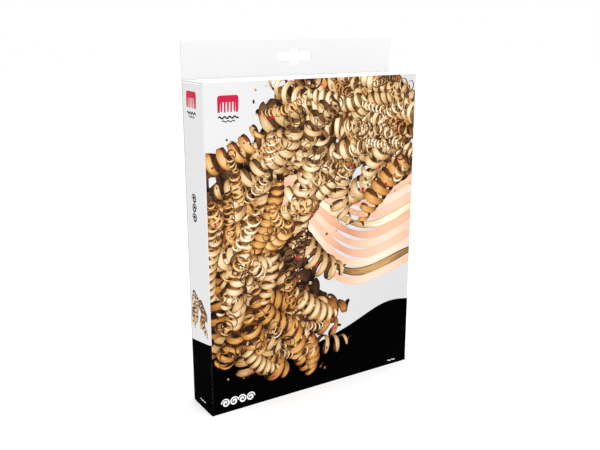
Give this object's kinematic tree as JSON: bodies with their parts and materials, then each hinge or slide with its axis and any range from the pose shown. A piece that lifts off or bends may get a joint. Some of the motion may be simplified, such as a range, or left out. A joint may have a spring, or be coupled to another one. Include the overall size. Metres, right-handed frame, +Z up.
{
  "type": "hanging retail carton",
  "caption": "Upright folded paperboard carton with a tuck lid, dust flaps and a two-ply hang header with a hook slot.",
  "frame": {"origin": "middle of the base, on the surface that the carton stands on", "axes": "+Z up towards the hang header, -Y out of the printed front, X across the carton"},
  "size_m": [0.242, 0.044, 0.355],
  "materials": {
    "printed_board": "offset print on white coated board, satin varnish",
    "header_board": "white coated board, satin varnish",
    "lid_board": "white coated board, satin varnish",
    "inner_board": "uncoated pale grey-brown inner face, matte",
    "base_board": "black print on coated board, satin varnish"
  },
  "bodies": {
    "carton": {"sleeve": "printed_board", "hanger_panel": "header_board", "bottom_panel": "base_board", "bottom_flap_left": "inner_board", "bottom_flap_right": "inner_board"},
    "lid": {"lid_panel": "lid_board"},
    "tuck": {"tuck_tab": "lid_board"},
    "left_flap": {"dust_flap_left": "inner_board"},
    "right_flap": {"dust_flap_right": "inner_board"}
  },
  "joints": [
    {"name": "lid_hinge", "type": "hinge", "parent": "carton", "child": "lid", "pos_m": [0, 0.02045, 0.31975], "axis": [-1, 0, 0], "range_deg": [0, 88]},
    {"name": "tuck_crease", "type": "hinge", "parent": "lid", "child": "tuck", "pos_m": [0, -0.02095, 0.3191], "axis": [1, 0, 0], "range_deg": [0, 60]},
    {"name": "left_flap_crease", "type": "hinge", "parent": "carton", "child": "left_flap", "pos_m": [-0.11995, 0, 0.31895], "axis": [0, 1, 0], "range_deg": [0, 80]},
    {"name": "right_flap_crease", "type": "hinge", "parent": "carton", "child": "right_flap", "pos_m": [0.11995, 0, 0.31895], "axis": [0, -1, 0], "range_deg": [0, 80]}
  ]
}
